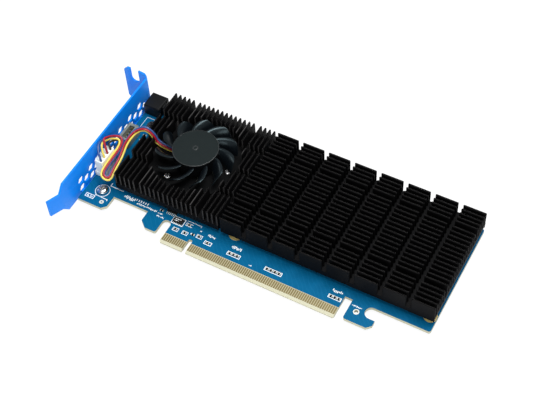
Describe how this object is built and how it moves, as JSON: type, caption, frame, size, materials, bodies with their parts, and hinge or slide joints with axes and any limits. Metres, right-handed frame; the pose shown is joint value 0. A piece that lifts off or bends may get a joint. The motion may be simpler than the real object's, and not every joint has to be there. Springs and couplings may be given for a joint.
{
  "type": "nvme adapter card",
  "caption": "Low-profile plug-in card that carries storage modules under finned heat sinks, with a small cooling fan, a gold edge connector and a vented bracket",
  "frame": {"origin": "Middle of the key notch, at the lower edge of the edge connector, on the component face of the circuit board.", "axes": "+X runs along the card away from the bracket, +Y away from the slot towards the rear edge of the board, +Z out of the component face."},
  "size_m": [0.1811, 0.0801, 0.022],
  "materials": {
    "board_mask": "blue solder mask, satin",
    "gold_plate": "gold plating",
    "bracket_paint": "blue anodised sheet, satin",
    "black_anodised": "black anodised",
    "fan_plastic": "black moulded plastic",
    "dark_steel": "dark ferrite ring",
    "screw_steel": "nickel plated",
    "copper_winding": "enamelled copper",
    "chip_black": "moulded epoxy",
    "thermal_pad": "grey soft pad",
    "connector_black": "black nylon",
    "connector_white": "natural white nylon",
    "ceramic": "ceramic with tinned ends",
    "wire_red": "insulation",
    "wire_blue": "insulation",
    "wire_yellow": "insulation",
    "wire_black": "insulation"
  },
  "bodies": {
    "card": {"circuit_board": "board_mask", "edge_contacts": "gold_plate", "bracket": "bracket_paint", "fan_heat_sink": "black_anodised", "large_heat_sink": "black_anodised", "fan_frame": "fan_plastic", "fan_board": "board_mask", "fan_stator": "copper_winding", "bracket_screws": "screw_steel", "heat_sink_screws": "screw_steel", "fan_screws": "screw_steel", "spacers": "screw_steel", "switch_chip": "chip_black", "chip_thermal_pad": "thermal_pad", "module_sockets": "connector_black", "storage_boards": "board_mask", "storage_chips": "chip_black", "storage_thermal_pads": "thermal_pad", "module_posts": "screw_steel", "module_screws": "screw_steel", "fan_header": "connector_white", "header_pins": "gold_plate", "fan_plug": "connector_white", "side_header": "connector_white", "side_header_pins": "gold_plate", "power_header": "connector_black", "small_parts_front": "ceramic", "small_parts_rear": "ceramic", "wire_red": "wire_red", "wire_blue": "wire_blue", "wire_yellow": "wire_yellow", "wire_black": "wire_black"},
    "fan_rotor": {"impeller": "fan_plastic", "rotor_magnet": "dark_steel", "rotor_shaft": "screw_steel"}
  },
  "joints": [
    {"name": "fan_spin", "type": "hinge", "parent": "card", "child": "fan_rotor", "pos_m": [-0.017, 0.042, 0.01], "axis": [0, 0, 1], "continuous": true}
  ]
}
